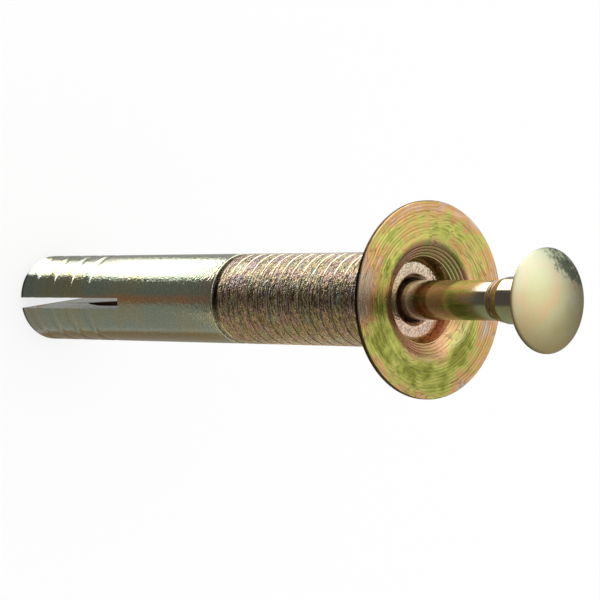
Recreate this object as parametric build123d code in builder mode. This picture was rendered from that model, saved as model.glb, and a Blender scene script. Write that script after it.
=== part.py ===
from build123d import *
import math
import os

# Split-tip drive anchor, standing on its sawn tip with its axis on +Z.
# Three turned steel pieces: a split sleeve, the countersunk collar pressed on its top end,
# and the nail that is hammered down through both to spread the tip. All sizes in millimetres.

# Sleeve
sleeve_diameter = 9.5
sleeve_length = 59.7
tip_chamfer = 0.3
end_chamfer_width = 1.0
end_chamfer_depth = 0.75

# Blind bore: it narrows to a point above the tip, where the driven nail wedges the halves apart
nail_clearance = 0.35
bore_point_height = 5.0
bore_taper_length = 6.2
bore_mouth_chamfer = 0.3

# Saw cut that splits the tip into two halves
slot_width = 1.2
slot_length = 18.0

# Shallow gripping rings near the tip
tip_groove_count = 4
tip_groove_first = 2.3
tip_groove_pitch = 3.25
tip_groove_width = 1.3
tip_groove_floor = 0.9
tip_groove_depth = 0.18

# Ribbed band from mid-length up to the collar: one wide relief, then fine scored rings
band_start = 33.9
relief_width = 1.0
relief_floor = 0.6
relief_depth = 0.25
rib_pitch = 1.59
rib_groove_width = 0.42
rib_groove_depth = 0.17
rib_end_gap = 1.2

# Collar
collar_diameter = 19.5
collar_rim = 0.45
collar_back_angle = 45.0
collar_skirt_wall = 0.4
collar_skirt_land = 0.2
collar_edge_chamfer = 0.1
press_gap = 0.01
stop_ledge = 0.5
sleeve_setback = 2.2
recess_depth = 1.1
recess_flare = 1.5
recess_lip_radius = 1.0

# Nail
nail_diameter = 3.9
nail_projection = 15.45
nail_point_flat = 1.0
nail_point_gap = 0.3
swell_length = 5.25
swell_cone_length = 1.5
swell_clearance = 0.03
ring_mark_count = 2
ring_mark_first = 0.2
ring_mark_spacing = 0.55
ring_mark_width = 0.26
ring_mark_depth = 0.08
head_seat_width = 0.75
head_seat_gap = 0.03
head_rim = 0.2
head_edge_chamfer = 0.08
head_underside_depth = 0.9
head_dome_height = 1.2

# Sizes that follow from those above
sleeve_radius = sleeve_diameter / 2
nail_radius = nail_diameter / 2
bore_radius = nail_radius + nail_clearance
end_face_radius = sleeve_radius - end_chamfer_width
bore_mouth_radius = bore_radius + bore_mouth_chamfer
taper_slope = bore_taper_length / bore_radius

collar_radius = collar_diameter / 2
collar_bore_radius = sleeve_radius - stop_ledge
socket_radius = sleeve_radius + press_gap
skirt_radius = socket_radius + collar_skirt_wall
collar_cone_depth = (collar_radius - skirt_radius) / math.tan(math.radians(collar_back_angle))
collar_height = collar_rim + collar_cone_depth + collar_skirt_land
collar_face = sleeve_length + sleeve_setback
collar_bottom = collar_face - collar_height
recess_mouth_radius = collar_bore_radius + recess_flare
recess_slope = recess_depth / recess_flare
chamfer_slope = end_chamfer_depth / end_chamfer_width

head_radius = collar_bore_radius + head_seat_width
head_underside_radius = head_radius - head_underside_depth / recess_slope
seat_depth = (recess_mouth_radius - head_radius) * recess_slope
drive_travel = nail_projection + seat_depth - head_seat_gap
rim_bottom = collar_face + nail_projection
rim_top = rim_bottom + head_rim
underside = rim_bottom - head_underside_depth
dome_top = rim_top + head_dome_height
dome_radius = (head_radius**2 + head_dome_height**2) / (2 * head_dome_height)
point_radius = nail_point_flat / 2
swell_radius = bore_radius - swell_clearance
swell_start = underside - swell_length
swell_slope = (swell_radius - nail_radius) / swell_cone_length
nail_point = bore_point_height + point_radius * taper_slope + nail_point_gap + drive_travel
nail_shoulder = nail_point + (nail_radius - point_radius) * taper_slope


def ring_groove(surface_radius, centre, width, depth, floor=0.0):
    """Cut one ring into a round surface on the Z axis, V-shaped or with a flat floor."""
    outer_half = width - floor / 2
    bottom = [(surface_radius - depth, centre + floor / 2)]
    if floor > 0:
        bottom.append((surface_radius - depth, centre - floor / 2))
    with BuildSketch(Plane.XZ) as section:
        with BuildLine():
            Polyline(
                *bottom,
                (surface_radius + depth, centre - outer_half),
                (surface_radius + depth, centre + outer_half),
                close=True,
            )
        make_face()
    revolve(section.sketch, axis=Axis.Z, mode=Mode.SUBTRACT)


# Split sleeve: turned bar, bored from the top and sawn across at the tip
with BuildPart() as split_sleeve:
    with BuildSketch(Plane.XZ):
        with BuildLine():
            Polyline(
                (0, 0),
                (sleeve_radius - tip_chamfer, 0),
                (sleeve_radius, tip_chamfer),
                (sleeve_radius, sleeve_length - end_chamfer_depth),
                (end_face_radius, sleeve_length),
                (0, sleeve_length),
                close=True,
            )
        make_face()
    revolve(axis=Axis.Z)
    for groove in range(tip_groove_count):
        groove_height = tip_groove_first + groove * tip_groove_pitch
        ring_groove(sleeve_radius, groove_height, tip_groove_width, tip_groove_depth, tip_groove_floor)
    relief_centre = band_start + relief_width / 2
    ring_groove(sleeve_radius, relief_centre, relief_width, relief_depth, relief_floor)
    rib_start = band_start + relief_width
    rib_room = collar_bottom - rib_end_gap - rib_start
    for rib in range(1, int(rib_room / rib_pitch) + 1):
        rib_height = rib_start + rib * rib_pitch
        ring_groove(sleeve_radius, rib_height, rib_groove_width, rib_groove_depth)
    with BuildSketch(Plane.XZ):
        with BuildLine():
            Polyline(
                (0, bore_point_height),
                (bore_radius, bore_point_height + bore_taper_length),
                (bore_radius, sleeve_length - bore_mouth_chamfer),
                (bore_mouth_radius, sleeve_length),
                (0, sleeve_length),
                close=True,
            )
        make_face()
    revolve(axis=Axis.Z, mode=Mode.SUBTRACT)
    with BuildSketch(Plane.XZ):
        Rectangle(slot_width, slot_length, align=(Align.CENTER, Align.MIN))
    extrude(amount=sleeve_diameter, both=True, mode=Mode.SUBTRACT)

# Collar: a countersunk head with a thin rim, dished for the nail head and socketed for the sleeve
with BuildPart() as dished_collar:
    chamfer_start = sleeve_length - end_chamfer_depth
    ledge_height = chamfer_start + (socket_radius - collar_bore_radius) * chamfer_slope
    with BuildSketch(Plane.XZ) as collar_section:
        with BuildLine():
            Polyline(
                (recess_mouth_radius, collar_face),
                (collar_radius, collar_face),
                (collar_radius, collar_face - collar_rim),
                (skirt_radius, collar_face - collar_rim - collar_cone_depth),
                (skirt_radius, collar_bottom),
                (socket_radius, collar_bottom),
                (socket_radius, chamfer_start),
                (collar_bore_radius, ledge_height),
                (collar_bore_radius, collar_face - recess_depth),
                close=True,
            )
        make_face()
        face_corners = collar_section.vertices().group_by(Axis.Y)[-1].sort_by(Axis.X)
        fillet(face_corners[0], recess_lip_radius)
        chamfer(face_corners[-1], collar_edge_chamfer)
    revolve(axis=Axis.Z)

# Drive nail: plain shank with a blunt cone point, thicker in its neck, with a thin low domed head
with BuildPart() as drive_nail:
    with BuildSketch(Plane.XZ) as nail_section:
        with BuildLine():
            Polyline(
                (0, dome_top),
                (0, nail_point),
                (point_radius, nail_point),
                (nail_radius, nail_shoulder),
                (nail_radius, swell_start),
                (swell_radius, swell_start + swell_cone_length),
                (swell_radius, underside),
                (head_underside_radius, underside),
                (head_radius, rim_bottom),
                (head_radius, rim_top),
            )
            RadiusArc((head_radius, rim_top), (0, dome_top), -dome_radius)
        make_face()
        head_corner = nail_section.vertices().group_by(Axis.X)[-1].sort_by(Axis.Y)[-1]
        chamfer(head_corner, head_edge_chamfer)
    revolve(axis=Axis.Z)
    for mark in range(ring_mark_count):
        mark_rise = ring_mark_first + mark * ring_mark_spacing
        mark_radius = nail_radius + mark_rise * swell_slope
        ring_groove(mark_radius, swell_start + mark_rise, ring_mark_width, ring_mark_depth)

os.makedirs("parts", exist_ok=True)
split_sleeve.part.label = "split_sleeve"
export_step(split_sleeve.part, "parts/split_sleeve.step")
dished_collar.part.label = "dished_collar"
export_step(dished_collar.part, "parts/dished_collar.step")
drive_nail.part.label = "drive_nail"
export_step(drive_nail.part, "parts/drive_nail.step")
print("collar face height", round(collar_face, 3))
print("overall height", round(dome_top, 3))
print("drive travel", round(drive_travel, 3))
print("nail point height at rest", round(nail_point, 3))
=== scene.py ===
import math

import bpy
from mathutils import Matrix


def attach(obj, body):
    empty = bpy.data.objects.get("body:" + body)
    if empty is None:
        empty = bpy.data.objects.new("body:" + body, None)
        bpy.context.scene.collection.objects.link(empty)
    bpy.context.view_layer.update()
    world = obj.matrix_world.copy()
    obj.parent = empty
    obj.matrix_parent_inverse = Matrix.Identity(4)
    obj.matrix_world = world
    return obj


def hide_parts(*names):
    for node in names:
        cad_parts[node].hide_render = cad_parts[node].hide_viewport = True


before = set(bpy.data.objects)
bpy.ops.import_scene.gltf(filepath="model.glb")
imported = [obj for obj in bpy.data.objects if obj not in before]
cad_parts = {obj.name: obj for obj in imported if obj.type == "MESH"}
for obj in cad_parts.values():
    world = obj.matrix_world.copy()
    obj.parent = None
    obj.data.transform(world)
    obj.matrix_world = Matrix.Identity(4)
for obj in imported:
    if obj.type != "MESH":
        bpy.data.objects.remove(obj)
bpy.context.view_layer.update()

# Camera: a long lens from about 48 degrees above the floor, turned on its side, so that the
# standing anchor lies across the picture with its nail head on the right.
CAMERA_AT = (-0.024944, -0.182032, 0.249297)
CAMERA_TURN = (-0.3716, -41.6367, 82.7255)
LENS = 160.81
bpy.ops.object.camera_add(location=CAMERA_AT, rotation=[math.radians(a) for a in CAMERA_TURN])
camera = bpy.context.object
camera.data.lens = LENS
camera.data.sensor_width = 36.0
camera.data.clip_start = 0.01
bpy.context.scene.camera = camera

# Split sleeve: one steel bar, turned and bored, with four shallow rings near the tip, a relief
# and fine scored rings up to the collar. Its tip is sawn across into two halves, and the whole
# is zinc plated with a thin yellow film. It is the piece that the wall grips.
MM = 0.001
SLEEVE_RADIUS, SLEEVE_LENGTH = 4.75, 59.7
TIP_RINGS, FIRST_TIP_RING, TIP_PITCH = 4, 2.3, 3.25
LAST_TIP_RING = FIRST_TIP_RING + (TIP_RINGS - 1) * TIP_PITCH
RELIEF_FROM, RELIEF_TO, RELIEF_DEPTH = 33.9, 34.9, 0.25
SCORED_RINGS, SCORE_PITCH = 12, 1.59
BORE_RADIUS, BORE_POINT, BORE_TAPER = 2.3, 5.0, 6.2
SAW_WIDTH, SAW_LENGTH = 1.2, 18.0
SHARP_EDGE = math.radians(32)


def turn(name, outline, steps):
    """A turned piece: an outline of (radius, height) points in mm, spun once round the Z axis."""
    bpy.ops.object.select_all(action="DESELECT")
    bpy.ops.mesh.primitive_circle_add(vertices=3, radius=MM, location=(0, 0, 0))
    piece = bpy.context.object
    piece.name = piece.data.name = name
    bpy.ops.object.mode_set(mode="EDIT")
    bpy.ops.mesh.select_all(action="SELECT")
    bpy.ops.mesh.merge(type="CENTER")
    start = outline[0]
    bpy.ops.transform.translate(value=(start[0] * MM, 0, start[1] * MM))
    for here, there in zip(outline, outline[1:]):
        step = ((there[0] - here[0]) * MM, 0, (there[1] - here[1]) * MM)
        bpy.ops.mesh.extrude_region_move(TRANSFORM_OT_translate={"value": step})
    bpy.ops.mesh.select_all(action="SELECT")
    bpy.ops.mesh.spin(steps=steps, angle=math.tau, center=(0, 0, 0), axis=(0, 0, 1))
    bpy.ops.mesh.select_all(action="SELECT")
    bpy.ops.mesh.remove_doubles(threshold=1e-6)
    bpy.ops.mesh.normals_make_consistent(inside=False)
    bpy.ops.object.mode_set(mode="OBJECT")
    return piece


def held(outline, reach=0.12):
    """The outline with a point close to each end of every long run, which keeps its shading flat."""
    firm = [outline[0]]
    for (r0, z0), (r1, z1) in zip(outline, outline[1:]):
        run = math.hypot(r1 - r0, z1 - z0)
        if run > 4 * reach:
            for share in (reach / run, 1 - reach / run):
                firm.append((r0 + (r1 - r0) * share, z0 + (z1 - z0) * share))
        firm.append((r1, z1))
    return firm


def groove(radius, height, steps):
    """Outline points of a ring cut into a shaft, from (offset along the shaft, depth) pairs."""
    return [(radius - depth, height + along) for along, depth in steps]


# Up the outside from the sawn tip, over the end face inside the collar, and down the bore
outline = [(0, 0), (4.45, 0), (4.7, 0.12), (SLEEVE_RADIUS, 0.3)]
for k in range(TIP_RINGS):
    outline += groove(SLEEVE_RADIUS, FIRST_TIP_RING + k * TIP_PITCH, [
        (-0.66, 0), (-0.6, 0.012), (-0.34, 0.085), (-0.2, 0.1),
        (0.2, 0.1), (0.34, 0.085), (0.6, 0.012), (0.66, 0)])
outline += groove(SLEEVE_RADIUS, RELIEF_FROM, [
    (-0.1, 0), (0, 0.03), (0.16, 0.22), (0.28, RELIEF_DEPTH),
    (0.74, RELIEF_DEPTH), (0.86, 0.2), (1.0, 0.02), (1.06, 0)])
for k in range(1, SCORED_RINGS + 1):
    outline += groove(SLEEVE_RADIUS, RELIEF_TO + k * SCORE_PITCH, [
        (-0.15, 0), (-0.11, 0.01), (-0.02, 0.072), (0.01, 0.072), (0.08, 0.015), (0.13, 0)])
outline += [(SLEEVE_RADIUS, 58.95), (3.84, 59.64), (3.72, SLEEVE_LENGTH), (2.63, SLEEVE_LENGTH),
            (2.57, 59.67), (BORE_RADIUS, 59.4), (BORE_RADIUS, BORE_POINT + BORE_TAPER),
            (0, BORE_POINT)]
sleeve = turn("split_sleeve_turned", held(outline), 192)

# The saw goes right through the bar, and starts 2 mm below the tip
bpy.ops.object.select_all(action="DESELECT")
bpy.ops.mesh.primitive_cube_add(size=1, location=(0, 0, (SAW_LENGTH - 2) / 2 * MM))
saw = bpy.context.object
bpy.ops.transform.resize(value=(SAW_WIDTH * MM, 14 * MM, (SAW_LENGTH + 2) * MM))
bpy.ops.object.transform_apply(location=True, rotation=True, scale=True)
bpy.ops.object.select_all(action="DESELECT")
sleeve.select_set(True)
bpy.context.view_layer.objects.active = sleeve
bpy.ops.object.modifier_add(type="BOOLEAN")
cut = sleeve.modifiers[-1]
cut.operation, cut.solver, cut.object = "DIFFERENCE", "EXACT", saw
bpy.ops.object.modifier_apply(modifier=cut.name)
bpy.data.objects.remove(saw)
bpy.ops.object.shade_smooth_by_angle(angle=SHARP_EDGE)


def colour(code):
    """An sRGB hex colour as linear RGBA."""
    parts = [int(code[i : i + 2], 16) / 255 for i in (1, 3, 5)]
    return (*((c / 12.92 if c <= 0.04045 else ((c + 0.055) / 1.055) ** 2.4) for c in parts), 1.0)


def add(tree, kind, links=(), values=(), stops=(), **settings):
    """Adds one node, with its settings, its input values and links, and a ramp's stops."""
    node = tree.nodes.new(kind)
    for field, value in settings.items():
        setattr(node, field, value)
    for socket, value in dict(values).items():
        node.inputs[socket].default_value = value
    for socket, source in dict(links).items():
        output = source.outputs[0] if isinstance(source, bpy.types.Node) else source
        tree.links.new(output, node.inputs[socket])
    if stops:
        ramp = node.color_ramp
        while len(ramp.elements) < len(stops):
            ramp.elements.new(1.0)
        for element, (place, shade) in zip(ramp.elements, stops):
            element.position = place
            element.color = colour(shade) if isinstance(shade, str) else (shade, shade, shade, 1)
    return node


def finish_material(name, piece, parts_of):
    """A metal material on a piece. parts_of(tree) gives its colour, roughness and normal outputs."""
    material = bpy.data.materials.new(name)
    material.use_nodes = True
    tree = material.node_tree
    tree.nodes.clear()
    tint, rough, normal = parts_of(tree)
    shader = add(tree, "ShaderNodeBsdfPrincipled",
                 {"Base Color": tint, "Roughness": rough, "Normal": normal}, {"Metallic": 1.0})
    add(tree, "ShaderNodeOutputMaterial", {"Surface": shader})
    piece.data.materials.clear()
    piece.data.materials.append(material)


# Middle level of the plating's surface pattern, and the level of the line masks at which the film
# shows as it is: less is painted shade, more is a painted highlight
MIDDLE, PLAIN = 1.5, 0.62


def sleeve_finish(tree):
    """Zinc under a thin yellow film: a mirror with fine grain on the shank, and rough, warm and
    flecked on the scored band, where each ring has a painted highlight on its wall and painted
    shade in its corner."""
    place = add(tree, "ShaderNodeTexCoord").outputs["Object"]
    at = add(tree, "ShaderNodeSeparateXYZ", {0: place})
    across, height = at.outputs["X"], at.outputs["Z"]

    # Where the band starts, where the end face does, and how far a spot lies towards +X, the side
    # away from the key light, on which the band's flecks hold less painted glint and shade
    band = add(tree, "ShaderNodeMapRange", {0: height},
               {1: RELIEF_FROM * MM, 2: (RELIEF_FROM + 0.1) * MM})
    end_face = add(tree, "ShaderNodeMapRange", {0: height},
                   {1: (SLEEVE_LENGTH - 0.4) * MM, 2: (SLEEVE_LENGTH - 0.3) * MM})
    scored = add(tree, "ShaderNodeMath", {0: band, 1: end_face}, operation="SUBTRACT")
    side = add(tree, "ShaderNodeMapRange", {0: across}, {1: 0.0, 2: 2.5 * MM})

    # The film drifts over about 7 mm on the shank and the end face, and over 1.8 mm on the band
    patches = add(tree, "ShaderNodeTexNoise", {"Vector": place},
                  {"Scale": 1 / (7 * MM), "Detail": 2, "Roughness": 0.45})
    spots = add(tree, "ShaderNodeTexNoise", {"Vector": place},
                {"Scale": 1 / (1.8 * MM), "Detail": 3, "Roughness": 0.65})
    shank = add(tree, "ShaderNodeValToRGB", {0: patches}, stops=[
        (0.30, "#b6b08a"), (0.42, "#b3b393"), (0.52, "#a9b39c"), (0.62, "#afb094"), (0.74, "#b8a995")])
    warm = add(tree, "ShaderNodeValToRGB", {0: spots}, stops=[
        (0.34, "#a7a493"), (0.42, "#afa07c"), (0.48, "#ab9b70"), (0.53, "#b2987a"),
        (0.58, "#b39380"), (0.66, "#a8978e")])
    pale = add(tree, "ShaderNodeValToRGB", {0: patches}, stops=[(0.40, "#c7c1a4"), (0.60, "#c3a894")])
    tint = add(tree, "ShaderNodeMix", {0: band, 6: shank, 7: warm}, data_type="RGBA").outputs[2]
    tint = add(tree, "ShaderNodeMix", {0: end_face, 6: tint, 7: pale}, data_type="RGBA").outputs[2]

    # Grain of the plating, drawn coarser than real so that it shows: 0.21 mm wide on the shank and
    # the end face, 0.25 mm on the band. There the scoring tool's scratches lie over it, 0.24 mm
    # wide and 1.2 or 0.5 mm long, in two layers turned so that neither repeats the other
    fine = add(tree, "ShaderNodeTexNoise", {"Vector": place}, {"Scale": 1 / (0.21 * MM), "Detail": 0})
    fine = add(tree, "ShaderNodeMath", {0: fine}, {1: 2 * MIDDLE}, operation="MULTIPLY")
    scratch = add(tree, "ShaderNodeTexNoise", {"Vector": place},
                  {"Scale": 1 / (0.25 * MM), "Detail": 2, "Roughness": 0.6})
    for turned, length in ((-22, 1.2), (14, 0.5)):
        layer = add(tree, "ShaderNodeMapping", {"Vector": place}, {
            "Rotation": (math.radians(turned), math.radians(turned), 0),
            "Scale": (1 / (length * MM), 1 / (length * MM), 1 / (0.24 * MM))})
        layer = add(tree, "ShaderNodeTexNoise", {"Vector": layer}, {"Scale": 1.0, "Detail": 1})
        scratch = add(tree, "ShaderNodeMath", {0: scratch, 1: layer}, operation="ADD")
    surface = add(tree, "ShaderNodeMix", {0: scored, 2: fine, 3: scratch})

    # How dark its lows are, then how bright its highs: on the band's -X and +X side, on the shank
    # and on the end face. The band's flecks are stronger on the -X side, the key light's side, as
    # painted glints and painted shade
    ends = []
    for minus_x, plus_x, on_shank, on_face in ((0.26, 0.6, 0.93, 0.72), (1.42, 1.16, 1.04, 1.12)):
        on_band = add(tree, "ShaderNodeMapRange", {0: side}, {3: minus_x, 4: plus_x})
        off_band = add(tree, "ShaderNodeMapRange", {0: end_face}, {3: on_shank, 4: on_face})
        ends.append(add(tree, "ShaderNodeMix", {0: scored, 2: off_band, 3: on_band}))
    fleck_and_painted_light = add(tree, "ShaderNodeMapRange", {0: surface, 3: ends[0], 4: ends[1]},
                {1: MIDDLE - 0.25, 2: MIDDLE + 0.25})

    # Each scored ring has a painted highlight on its wall on the tip's side and painted shade in its
    # corner, and each of the tip's rings has a thin line of painted shade at both edges: stops from
    # -0.5 to 0.5 mm, then -0.8 to 0.8
    rows = []
    for first, pitch, reach, stops in (
            (RELIEF_TO, SCORE_PITCH, 0.5, [
                (0.33, PLAIN), (0.36, 1.0), (0.44, 1.0), (0.47, 0.1), (0.62, 0.12), (0.68, PLAIN)]),
            (FIRST_TIP_RING, TIP_PITCH, 0.8, [
                (0.11, PLAIN), (0.15, 0.5), (0.19, PLAIN), (0.83, PLAIN), (0.86, 0.55), (0.89, PLAIN)])):
        row = add(tree, "ShaderNodeMath", {0: height}, {1: first * MM}, operation="SUBTRACT")
        row = add(tree, "ShaderNodeMath", {0: row}, {1: pitch / 2 * MM, 2: -pitch / 2 * MM},
                  operation="WRAP")
        row = add(tree, "ShaderNodeMapRange", {0: row}, {1: -reach * MM, 2: reach * MM})
        rows.append(add(tree, "ShaderNodeValToRGB", {0: row}, stops=stops))
    ring, edge = rows

    # The relief too has a painted highlight on its wall, and painted shade right across
    wide = add(tree, "ShaderNodeMapRange", {0: height},
               {1: (RELIEF_FROM - 0.4) * MM, 2: (RELIEF_TO + 0.6) * MM})
    wide = add(tree, "ShaderNodeValToRGB", {0: wide}, stops=[
        (0.13, PLAIN), (0.16, 1.0), (0.21, 1.0), (0.24, 0.1), (0.7, 0.12), (0.76, PLAIN)])
    upper = add(tree, "ShaderNodeMapRange", {0: height},
                {1: (RELIEF_TO + 0.5) * MM, 2: (RELIEF_TO + 0.6) * MM})
    ring = add(tree, "ShaderNodeMix", {0: upper, 2: wide, 3: ring})

    # Towards +X there is no painted shade: the corners get a painted highlight, and the walls are plain
    thin = add(tree, "ShaderNodeMapRange", {0: ring}, {1: 0.1, 2: PLAIN, 3: 0.95, 4: PLAIN})
    ring = add(tree, "ShaderNodeMix", {0: side, 2: ring, 3: thin})

    # The tip's lines of painted shade end past its last ring, the band's painted lines start just
    # below the relief, the end face has none, and the edge of the sawn tip is dark
    past = add(tree, "ShaderNodeMapRange", {0: height},
               {1: (LAST_TIP_RING + 1.35) * MM, 2: (LAST_TIP_RING + 1.45) * MM})
    edge = add(tree, "ShaderNodeMix", {0: past, 2: edge}, {3: PLAIN})
    start = add(tree, "ShaderNodeMapRange", {0: height},
                {1: (RELIEF_FROM - 0.4) * MM, 2: (RELIEF_FROM - 0.3) * MM})
    lines = add(tree, "ShaderNodeMix", {0: start, 2: edge, 3: ring})
    lines = add(tree, "ShaderNodeMix", {0: end_face, 2: lines}, {3: PLAIN})
    foot = add(tree, "ShaderNodeMapRange", {0: height}, {1: 0.36 * MM, 2: 0.6 * MM, 3: 0.2, 4: 1.0})
    lines = add(tree, "ShaderNodeMath", {0: lines, 1: foot}, operation="MULTIPLY")
    # The painted highlights and painted shade of the lines go into the flecks, and so into the colour
    fleck_and_painted_light = add(tree, "ShaderNodeMath", {0: fleck_and_painted_light, 1: lines}, operation="MULTIPLY")
    fleck_and_painted_light = add(tree, "ShaderNodeMath", {0: fleck_and_painted_light}, {1: 1 / PLAIN}, operation="MULTIPLY")
    tint = add(tree, "ShaderNodeVectorMath", {0: tint, 1: fleck_and_painted_light}, operation="MULTIPLY")

    # Walls with the painted highlight: smoother than the band, and painted pale as part of that
    # highlight
    painted_wall_glint = add(tree, "ShaderNodeMapRange", {0: lines}, {1: 0.7, 2: 1.0, 4: 0.62})
    surface = add(tree, "ShaderNodeMix", {0: painted_wall_glint, 2: surface}, {3: MIDDLE})
    tint = add(tree, "ShaderNodeMix", {0: painted_wall_glint, 6: tint}, {7: colour("#ece0c8")}, data_type="RGBA")

    # The drill left the bore rough and brown: all within its radius but the saw cut's own faces
    inner = add(tree, "ShaderNodeVectorMath", {0: place}, {1: (1, 1, 0)}, operation="MULTIPLY")
    inner = add(tree, "ShaderNodeVectorMath", {0: inner}, operation="LENGTH").outputs["Value"]
    inner = add(tree, "ShaderNodeMath", {0: inner}, {1: (BORE_RADIUS + 0.04) * MM},
                operation="LESS_THAN")
    beside = add(tree, "ShaderNodeMath", {0: across}, operation="ABSOLUTE")
    beside = add(tree, "ShaderNodeMath", {0: beside}, {1: (SAW_WIDTH / 2 + 0.03) * MM},
                 operation="GREATER_THAN")
    above = add(tree, "ShaderNodeMath", {0: height}, {1: SAW_LENGTH * MM}, operation="GREATER_THAN")
    beside = add(tree, "ShaderNodeMath", {0: beside, 1: above}, operation="MAXIMUM")
    bore = add(tree, "ShaderNodeMath", {0: inner, 1: beside}, operation="MULTIPLY")
    tint = add(tree, "ShaderNodeMix", {0: bore, 6: tint.outputs[2]}, {7: colour("#cfae98")},
               data_type="RGBA")
    rough = add(tree, "ShaderNodeMapRange", {0: scored}, {3: 0.13, 4: 0.26})
    rough = add(tree, "ShaderNodeMix", {0: bore, 2: rough}, {3: 0.6})
    depth = add(tree, "ShaderNodeMapRange", {0: side}, {3: 0.0095 * MM, 4: 0.005 * MM})
    depth = add(tree, "ShaderNodeMix", {0: scored, 2: depth}, {3: 0.09 * MM})
    bump = add(tree, "ShaderNodeBump", {"Height": surface, "Distance": depth}, {"Strength": 1.0})
    return tint.outputs[2], rough, bump


finish_material("yellow_zinc_on_turned_steel", sleeve, sleeve_finish)
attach(sleeve, "sleeve_body")
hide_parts("split_sleeve")

# Collar: a countersunk steel head, thin at its rim, dished for the nail head and pressed on the
# sleeve's top end. Its face keeps the swirling marks of the facing tool under the yellow film.
COLLAR_RADIUS, FACE = 9.75, 61.9
SKIRT_RADIUS, SKIRT_BOTTOM = 5.16, 56.66
SOCKET_RADIUS, LEDGE_RADIUS = 4.76, 4.25
LIP_OUTER, LIP_INNER, LIP_BEND = (6.077, FACE), (5.486, 61.706), 1.0
DISH_END = (LEDGE_RADIUS, 60.8)
FACE_MARKS, DISH_MARKS = 10, 4
INTO_DISH_WALL = (0.59, -0.81)


def arc(start, end, radius, count):
    """Points of an arc between two outline points, bulging to the left on the way to the end."""
    (x0, y0), (x1, y1) = start, end
    dx, dy = x1 - x0, y1 - y0
    half = math.hypot(dx, dy) / 2
    rise = math.sqrt(radius * radius - half * half)
    cx = (x0 + x1) / 2 + dy / (2 * half) * rise
    cy = (y0 + y1) / 2 - dx / (2 * half) * rise
    first, last = math.atan2(y0 - cy, x0 - cx), math.atan2(y1 - cy, x1 - cx)
    sweep = (last - first + math.pi) % math.tau - math.pi
    turns = [first + sweep * k / count for k in range(count + 1)]
    return [(cx + radius * math.cos(a), cy + radius * math.sin(a)) for a in turns]


# Out along the skirt's foot, up the cone to the rim, in across the face's marks, over the lip and
# down the dish's marks, and then the ledge and the socket that take the sleeve's end
outline = [(SOCKET_RADIUS, SKIRT_BOTTOM), (SKIRT_RADIUS, SKIRT_BOTTOM),
           (SKIRT_RADIUS, SKIRT_BOTTOM + 0.2), (COLLAR_RADIUS, 61.45), (COLLAR_RADIUS, 61.5),
           (COLLAR_RADIUS, 61.76), (COLLAR_RADIUS, 61.79), (9.68, FACE)]
for k in range(FACE_MARKS):
    middle = 9.35 - 0.32 * k
    deep = 0.012 + 0.012 * ((k * 7) % 5) / 4
    outline += [(middle + 0.08, FACE), (middle, FACE - deep), (middle - 0.08, FACE)]
outline += arc(LIP_INNER, LIP_OUTER, LIP_BEND, 10)[::-1]
for k in range(DISH_MARKS):
    for along, deep in ((0, 0), (0.05, 0.035), (0.12, 0)):
        part = 0.12 + 0.24 * k + along
        r = LIP_INNER[0] + (DISH_END[0] - LIP_INNER[0]) * part
        z = LIP_INNER[1] + (DISH_END[1] - LIP_INNER[1]) * part
        outline.append((r + INTO_DISH_WALL[0] * deep, z + INTO_DISH_WALL[1] * deep))
outline += [(4.3, 60.84), (LEDGE_RADIUS, 60.76), (LEDGE_RADIUS, 59.333), (SOCKET_RADIUS, 58.95),
            (SOCKET_RADIUS, SKIRT_BOTTOM)]
collar = turn("dished_collar_turned", held(outline), 256)
bpy.ops.object.shade_smooth_by_angle(angle=SHARP_EDGE)


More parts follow.
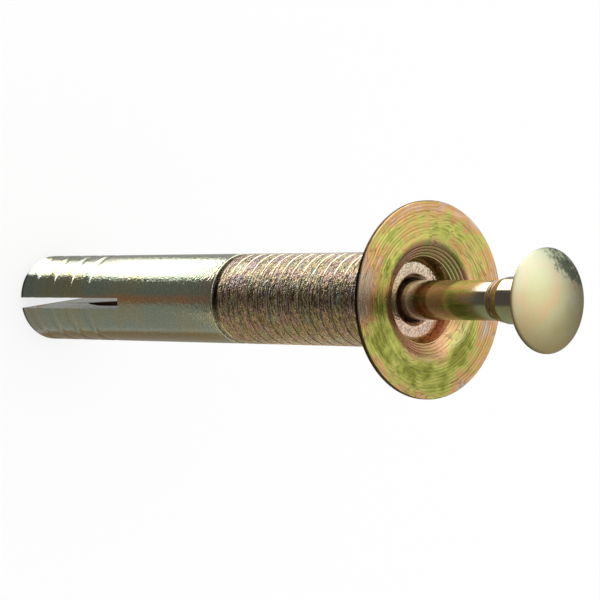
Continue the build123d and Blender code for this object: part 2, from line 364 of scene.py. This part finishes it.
def collar_finish(tree):
    """Zinc under a thicker yellow film, in green, yellow, orange and pink patches over the facing
    tool's fine broken arcs, with thin dark lines in it, painted shade towards +X and on the rim's
    edge, which is painted dark brown."""
    place = add(tree, "ShaderNodeTexCoord").outputs["Object"]
    at = add(tree, "ShaderNodeSeparateXYZ", {0: place})
    across, height = at.outputs["X"], at.outputs["Z"]

    # The marks run round the axis but stray from it by about a millimetre, over 6 mm
    drift = add(tree, "ShaderNodeTexNoise", {"Vector": place}, {"Scale": 1 / (6 * MM), "Detail": 2})
    drift = add(tree, "ShaderNodeVectorMath", {0: drift.outputs["Color"]}, {1: (0.5, 0.5, 0.5)},
                operation="SUBTRACT")
    drift = add(tree, "ShaderNodeVectorMath", {0: drift}, {"Scale": 2.5 * MM}, operation="SCALE")
    strayed = add(tree, "ShaderNodeVectorMath", {0: place, 1: drift}, operation="ADD")
    strayed = add(tree, "ShaderNodeVectorMath", {0: strayed}, {1: (1, 1, 0)}, operation="MULTIPLY")
    radius = add(tree, "ShaderNodeVectorMath", {0: strayed}, operation="LENGTH").outputs["Value"]
    around = add(tree, "ShaderNodeVectorMath", {0: strayed}, operation="NORMALIZE")
    around = add(tree, "ShaderNodeSeparateXYZ", {0: around})

    # Tool marks, broken arcs 0.25 mm wide, and a wider swirl, 1.2 mm, that the dark lines follow
    patterns = []
    for width, scale, detail, jagged in ((0.25, 1.0, 3, 0.7), (1.2, 1.5, 1, 0.5)):
        out = add(tree, "ShaderNodeMath", {0: radius}, {1: 1 / (width * MM)}, operation="MULTIPLY")
        polar = add(tree, "ShaderNodeCombineXYZ", {0: around.outputs[0], 1: around.outputs[1], 2: out})
        patterns.append(add(tree, "ShaderNodeTexNoise", {"Vector": polar},
                            {"Scale": scale, "Detail": detail, "Roughness": jagged}))
    marks, swirl = patterns

    # Thin dark lines about 0.5 mm apart, broken over 1.8 mm
    lines = add(tree, "ShaderNodeMath", {0: swirl}, {1: 0.05}, operation="PINGPONG")
    lines = add(tree, "ShaderNodeMapRange", {0: lines}, {1: 0.0, 2: 0.015})
    breaks = add(tree, "ShaderNodeTexNoise", {"Vector": place}, {"Scale": 1 / (1.8 * MM), "Detail": 2})
    breaks = add(tree, "ShaderNodeMapRange", {0: breaks}, {1: 0.4, 2: 0.62, 3: 0.6, 4: 1.0})
    lines = add(tree, "ShaderNodeMath", {0: lines, 1: breaks}, operation="MAXIMUM")

    # The film's patches, about 4 mm across, are shifted in colour towards the rim and across X
    patches = add(tree, "ShaderNodeTexNoise", {"Vector": place},
                  {"Scale": 1 / (4 * MM), "Detail": 4, "Roughness": 0.6})
    blend = add(tree, "ShaderNodeMix", {2: patches, 3: swirl}, {0: 0.15})
    rim = add(tree, "ShaderNodeMapRange", {0: radius}, {1: 7.2 * MM, 2: 9.7 * MM, 3: -0.02, 4: 0.07})
    side = add(tree, "ShaderNodeMapRange", {0: across}, {1: -9 * MM, 2: 9 * MM, 3: 0.02, 4: -0.03})
    for shift in (rim, side):
        blend = add(tree, "ShaderNodeMath", {0: blend, 1: shift}, operation="ADD")
    face = add(tree, "ShaderNodeValToRGB", {0: blend}, stops=[
        (0.38, "#8c8c3e"), (0.43, "#a3a650"), (0.48, "#b7b460"), (0.53, "#bda764"),
        (0.57, "#c89c62"), (0.63, "#c9a484"), (0.69, "#bfae98")])
    dish = add(tree, "ShaderNodeValToRGB", {0: blend}, stops=[
        (0.38, "#aba668"), (0.46, "#bda26e"), (0.54, "#c69a70"), (0.62, "#cfa488")])
    inside = add(tree, "ShaderNodeMapRange", {0: radius}, {1: 6.1 * MM, 2: 5.6 * MM})
    tint = add(tree, "ShaderNodeMix", {0: inside, 6: face, 7: dish}, data_type="RGBA").outputs[2]

    # Marks and lines show in its brightness, and it is painted darker towards +X, the side away from
    # the key light, as painted shade
    fleck_and_painted_light = add(tree, "ShaderNodeMapRange", {0: marks}, {1: 0.3, 2: 0.7, 3: 0.84, 4: 1.16})
    painted_shade_plus_x = add(tree, "ShaderNodeMapRange", {0: across}, {1: 1 * MM, 2: 9 * MM, 3: 1.0, 4: 0.8})
    for dimmer in (lines, painted_shade_plus_x):
        fleck_and_painted_light = add(tree, "ShaderNodeMath", {0: fleck_and_painted_light, 1: dimmer}, operation="MULTIPLY")
    tint = add(tree, "ShaderNodeVectorMath", {0: tint, 1: fleck_and_painted_light}, operation="MULTIPLY")

    # The edge of the rim, 61.4 to 61.8 mm up, is painted dark brown, as painted shade
    edge = add(tree, "ShaderNodeMath", {0: height}, {1: 61.6 * MM, 2: 0.2 * MM}, operation="COMPARE")
    outer = add(tree, "ShaderNodeVectorMath", {0: place}, {1: (1, 1, 0)}, operation="MULTIPLY")
    outer = add(tree, "ShaderNodeVectorMath", {0: outer}, operation="LENGTH").outputs["Value"]
    outer = add(tree, "ShaderNodeMath", {0: outer}, {1: (COLLAR_RADIUS - 0.25) * MM},
                operation="GREATER_THAN")
    edge = add(tree, "ShaderNodeMath", {0: edge, 1: outer}, operation="MULTIPLY")
    tint = add(tree, "ShaderNodeMix", {0: edge, 6: tint}, {7: colour("#4a3826")}, data_type="RGBA")

    rough = add(tree, "ShaderNodeMapRange", {0: marks}, {1: 0.3, 2: 0.7, 3: 0.3, 4: 0.18})
    surface = add(tree, "ShaderNodeMath", {0: marks, 1: lines}, operation="ADD")
    bump = add(tree, "ShaderNodeBump", {"Height": surface}, {"Strength": 1.0, "Distance": 0.014 * MM})
    return tint.outputs[2], rough, bump


finish_material("yellow_zinc_on_faced_steel", collar, collar_finish)
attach(collar, "sleeve_body")
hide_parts("dished_collar")

# Drive nail: drawn steel wire, headed cold and pointed, plated like the rest but smoother. It
# stands out of the collar as delivered, and is hammered down until its head fills the dish.
NAIL_RADIUS, NAIL_POINT = 1.95, 22.618
NECK_RADIUS, NECK_FROM, NECK_TO = 2.27, 71.2, 72.7
HEAD_RADIUS, HEAD_FROM, DOME_TOP, DOME_BEND = 5.0, 76.45, 78.75, 11.017
MARK_HEIGHTS = (71.4, 71.95)
outline = [(0, NAIL_POINT), (0.45, NAIL_POINT), (0.55, 22.74), (1.9, 26.38), (NAIL_RADIUS, 26.6),
           (NAIL_RADIUS, NECK_FROM)]
for height in MARK_HEIGHTS:
    surface = NAIL_RADIUS + (height - NECK_FROM) * (NECK_RADIUS - NAIL_RADIUS) / (NECK_TO - NECK_FROM)
    outline += groove(surface, height, [(-0.13, 0.02), (-0.04, 0.07), (0.04, 0.06), (0.13, -0.02)])
outline += [(NECK_RADIUS, NECK_TO + 0.05), (NECK_RADIUS, HEAD_FROM - 0.1), (2.37, HEAD_FROM),
            (3.7, HEAD_FROM), (3.82, 76.5), (4.9, 77.29), (4.98, 77.36), (HEAD_RADIUS, 77.42),
            (HEAD_RADIUS, 77.46), (4.96, 77.52)]
outline += arc((0, DOME_TOP), (4.86, 77.6), DOME_BEND, 28)[::-1]
nail = turn("drive_nail_headed", held(outline), 160)
bpy.ops.object.shade_smooth_by_angle(angle=SHARP_EDGE)


def nail_finish(tree):
    """Zinc under a pale film on smooth drawn wire: bright on the shank, satin on the cold-formed
    head, which has one dark smudge towards its edge."""
    place = add(tree, "ShaderNodeTexCoord").outputs["Object"]
    at = add(tree, "ShaderNodeSeparateXYZ", {0: place})
    across, height = at.outputs["X"], at.outputs["Z"]
    head = add(tree, "ShaderNodeMath", {0: height}, {1: 77.0 * MM}, operation="GREATER_THAN")

    # The film drifts over about 5 mm. The dome is painted yellower and darker towards +X, as
    # painted shade, and greener and paler towards -X, the key light's side, as painted light
    patches = add(tree, "ShaderNodeTexNoise", {"Vector": place}, {"Scale": 1 / (5 * MM), "Detail": 3})
    dome = add(tree, "ShaderNodeValToRGB", {0: patches}, stops=[
        (0.34, "#b3b089"), (0.44, "#bcbd9b"), (0.52, "#c0b995"), (0.60, "#c6ae8a"), (0.68, "#b9b48a")])
    for start, end, most, shade in ((-2, 5, 0.8, "#b8a66e"), (-1, -5, 0.7, "#c6d2b6")):
        side = add(tree, "ShaderNodeMapRange", {0: across},
                   {1: start * MM, 2: end * MM, 3: 0.0, 4: most})
        dome = add(tree, "ShaderNodeMix", {0: side, 6: dome}, {7: colour(shade)},
                   data_type="RGBA").outputs[2]

    # Where the neck widens, with its two ring marks, the wire is painted brown: a painted reflection
    # of the dish
    wire = add(tree, "ShaderNodeValToRGB", {0: patches}, stops=[
        (0.34, "#b9b49c"), (0.46, "#c4bfa8"), (0.56, "#c9b8a4"), (0.66, "#beb6a0")])
    painted_neck_reflection = add(tree, "ShaderNodeMath", {0: height},
                 {1: (NECK_TO + NECK_FROM) / 2 * MM, 2: (NECK_TO - NECK_FROM) / 2 * MM},
                 operation="COMPARE")
    wire = add(tree, "ShaderNodeMix", {0: painted_neck_reflection, 6: wire}, {7: colour("#a8907e")}, data_type="RGBA")
    tint = add(tree, "ShaderNodeMix", {0: head, 6: wire.outputs[2], 7: dome}, data_type="RGBA")

    # Grain of the plating, drawn 0.4 mm wide so that it shows, and coarser grain, 0.6 mm, that
    # breaks up the smudge, which is 6.8 mm long and 2.3 mm wide on top of the head
    grain, ragged = (
        add(tree, "ShaderNodeTexNoise", {"Vector": place},
            {"Scale": 1 / (width * MM), "Detail": 4, "Roughness": 0.7}) for width in (0.4, 0.6))
    spot = add(tree, "ShaderNodeMapping", {"Vector": place}, {
        "Location": (-2.7 * MM, 2.6 * MM, 0), "Rotation": (0, 0, math.radians(48)),
        "Scale": (3.4 * MM, 1.15 * MM, 1)}, vector_type="TEXTURE")
    spot = add(tree, "ShaderNodeVectorMath", {0: spot}, operation="LENGTH").outputs["Value"]
    ragged = add(tree, "ShaderNodeMapRange", {0: ragged}, {1: 0.35, 2: 0.65})
    spot = add(tree, "ShaderNodeMath", {0: spot, 1: ragged}, operation="ADD")
    spot = add(tree, "ShaderNodeMapRange", {0: spot}, {1: 0.9, 2: 1.5, 3: 0.92, 4: 0.0})
    spot = add(tree, "ShaderNodeMath", {0: spot, 1: head}, operation="MULTIPLY")
    tint = add(tree, "ShaderNodeMix", {0: spot, 6: tint.outputs[2]}, {7: colour("#565d49")},
               data_type="RGBA")

    satin = add(tree, "ShaderNodeMapRange", {0: head}, {3: 0.09, 4: 0.22})
    rough = add(tree, "ShaderNodeMath", {0: grain}, {1: 0.1}, operation="MULTIPLY")
    rough = add(tree, "ShaderNodeMath", {0: rough, 1: satin}, operation="ADD")
    bump = add(tree, "ShaderNodeBump", {"Height": grain}, {"Strength": 0.3, "Distance": 0.012 * MM})
    return tint.outputs[2], rough, bump


finish_material("yellow_zinc_on_drawn_steel", nail, nail_finish)
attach(nail, "nail_body")
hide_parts("drive_nail")

# Floor: a sweep of white paper that the anchor stands on. It shows as white in the picture and in
# the metal, and keeps a faint shadow.
bpy.ops.object.select_all(action="DESELECT")
bpy.ops.mesh.primitive_plane_add(size=8, location=(0, 0, 0))
floor = bpy.context.object
floor.name = "studio_floor"
material = bpy.data.materials.new("white_paper")
material.use_nodes = True
tree = material.node_tree
tree.nodes.clear()
seen = add(tree, "ShaderNodeLightPath")
direct = seen.outputs["Is Camera Ray"]
for ray in ("Is Glossy Ray", "Is Transmission Ray"):
    direct = add(tree, "ShaderNodeMath", {0: direct, 1: seen.outputs[ray]}, operation="ADD")
share = add(tree, "ShaderNodeMath", {0: direct}, {1: 0.75}, operation="MULTIPLY", use_clamp=True)
paper = add(tree, "ShaderNodeBsdfDiffuse", values={"Color": (0.9, 0.9, 0.9, 1)})
glow = add(tree, "ShaderNodeEmission", values={"Color": (1, 1, 1, 1), "Strength": 1.03})
mixed = add(tree, "ShaderNodeMixShader", {0: share, 1: paper, 2: glow})
add(tree, "ShaderNodeOutputMaterial", {"Surface": mixed})
floor.data.materials.append(material)

# Air: plain white light all round, in place of a lit room, at a level that leaves the paper just
# white.
world = bpy.data.worlds.new("studio_air")
bpy.context.scene.world = world
world.use_nodes = True
world.node_tree.nodes.clear()
light = add(world.node_tree, "ShaderNodeBackground", values={"Color": (1, 1, 1, 1), "Strength": 1.0})
add(world.node_tree, "ShaderNodeOutputWorld", {"Surface": light})
bpy.context.scene.view_settings.view_transform = "Standard"

# Cards round the foot: white, black, brown and grey card, which only the metal shows. The
# upright sleeve and nail mirror them as long bands of light and dark.
TENT_RADIUS = 0.5
CARD_LIGHT = 3.4
CAMERA_SIDE = math.degrees(math.atan2(CAMERA_AT[1], CAMERA_AT[0]))


def card_material(name, strength):
    """A material that only shines. It comes with its node tree and glow node, to link up next."""
    material = bpy.data.materials.new(name)
    material.use_nodes = True
    tree = material.node_tree
    tree.nodes.clear()
    glow = add(tree, "ShaderNodeEmission", values={"Strength": strength})
    add(tree, "ShaderNodeOutputMaterial", {"Surface": glow})
    return material, tree, glow


bpy.ops.object.select_all(action="DESELECT")
bpy.ops.mesh.primitive_circle_add(
    vertices=96, radius=TENT_RADIUS, fill_type="NGON", location=(0, 0, 0.05 * MM))
cards = bpy.context.object
cards.name = "studio_cards"
bpy.ops.object.transform_apply(location=True, rotation=True, scale=True)
material, tree, glow = card_material("card_tones", CARD_LIGHT)
place = add(tree, "ShaderNodeTexCoord").outputs["Object"]
moved = add(tree, "ShaderNodeMapping", {"Vector": place}, {"Location": (0.354 * MM, 2.594 * MM, 0)})
turned = add(tree, "ShaderNodeMapping", {"Vector": moved},
             {"Rotation": (0, 0, math.radians(-CAMERA_SIDE))})
turned = add(tree, "ShaderNodeSeparateXYZ", {0: turned})

# The way round, 0.5 towards the camera, 0.25 on the key side, 0 and 1 on the far side
way = add(tree, "ShaderNodeMath", {0: turned.outputs["Y"], 1: turned.outputs["X"]},
          operation="ARCTAN2")
way = add(tree, "ShaderNodeMapRange", {0: way}, {1: -math.pi, 2: math.pi, 3: 0.0, 4: 1.0})
distance = add(tree, "ShaderNodeVectorMath", {0: place}, operation="LENGTH").outputs["Value"]

# Five rings of card: the one at the foot, and the others with the distances in mm over which
# each takes the place of the one before
tones = add(tree, "ShaderNodeValToRGB", {0: way}, stops=[
    (0.0, 0.12), (0.2, 0.12), (0.22, 1.0), (0.315, 1.0), (0.33, 0.05), (0.482, 0.05),
    (0.545, 0.085), (0.56, 0.1), (0.74, 0.11), (0.755, 0.15), (0.78, "#554838"), (1.0, 0.11)])
for first, last, stops in (
        (11, 18, [
            (0.0, 0.12), (0.16, 0.13), (0.185, 1.0), (0.338, 1.0), (0.352, 0.06), (0.482, 0.055),
            (0.488, "#573f35"), (0.535, "#573f35"), (0.545, 0.085), (0.56, 0.1), (0.74, 0.11),
            (0.755, 0.15), (0.78, "#554838"), (1.0, 0.11)]),
        (33.5, 35, [
            (0.0, 0.16), (0.09, 0.34), (0.13, 0.4), (0.155, 0.27), (0.19, 0.05), (0.23, 0.04),
            (0.585, 0.04), (0.6, "#918570"), (0.7, "#998c75"), (0.85, "#988e7f"), (1.0, "#847a68")]),
        (56, 57, [(0.0, "#211a17"), (1.0, "#211a17")]),
        (65, 66, [
            (0.0, 0.1), (0.15, 0.12), (0.18, 1.0), (0.34, 1.0), (0.36, 0.03), (0.56, 0.03),
            (0.6, "#4c5242"), (0.8, "#585e4a"), (1.0, 0.1)])):
    ring = add(tree, "ShaderNodeValToRGB", {0: way}, stops=stops)
    out = add(tree, "ShaderNodeMapRange", {0: distance}, {1: first * MM, 2: last * MM})
    tones = add(tree, "ShaderNodeMix", {0: out, 6: tones, 7: ring}, data_type="RGBA").outputs[2]
tree.links.new(tones, glow.inputs["Color"])
cards.data.materials.append(material)

# Tent over it: dim cloth with four soft lights behind it, a broad one high on the key side, one
# high and one low on the far side, and a smaller bright one low on the key side. It lights the
# collar's face, the nail's head and the ring walls.
TENT_LEVEL = 0.14
TENT_LIGHTS = ((112, 65, 4, 1.22), (180, 60, 4, 0.56), (85, 12, 5, 2.1), (220, 5, 10, 0.35))
bpy.ops.object.select_all(action="DESELECT")
bpy.ops.mesh.primitive_uv_sphere_add(segments=64, ring_count=32, radius=TENT_RADIUS, location=(0, 0, 0))
tent = bpy.context.object
tent.name = "studio_tent"
material, tree, glow = card_material("tent_tones", 1.0)
place = add(tree, "ShaderNodeTexCoord").outputs["Object"]
toward = add(tree, "ShaderNodeVectorMath", {0: place}, operation="NORMALIZE")
light = add(tree, "ShaderNodeMath", values={0: TENT_LEVEL, 1: 0.0}, operation="ADD")
for from_camera, rise, narrow, strength in TENT_LIGHTS:
    a, e = math.radians(CAMERA_SIDE - from_camera), math.radians(rise)
    way = (math.cos(a) * math.cos(e), math.sin(a) * math.cos(e), math.sin(e))
    near = add(tree, "ShaderNodeVectorMath", {0: toward}, {1: way}, operation="DOT_PRODUCT")
    near = add(tree, "ShaderNodeMath", {0: near.outputs["Value"]}, {1: 0.0}, operation="MAXIMUM")
    near = add(tree, "ShaderNodeMath", {0: near}, {1: narrow}, operation="POWER")
    near = add(tree, "ShaderNodeMath", {0: near}, {1: strength}, operation="MULTIPLY")
    light = add(tree, "ShaderNodeMath", {0: light, 1: near}, operation="ADD")
tree.links.new(light.outputs[0], glow.inputs["Strength"])
tent.data.materials.append(material)
for piece in (cards, tent):
    piece.visible_camera = piece.visible_diffuse = False
    piece.visible_shadow = piece.visible_transmission = False
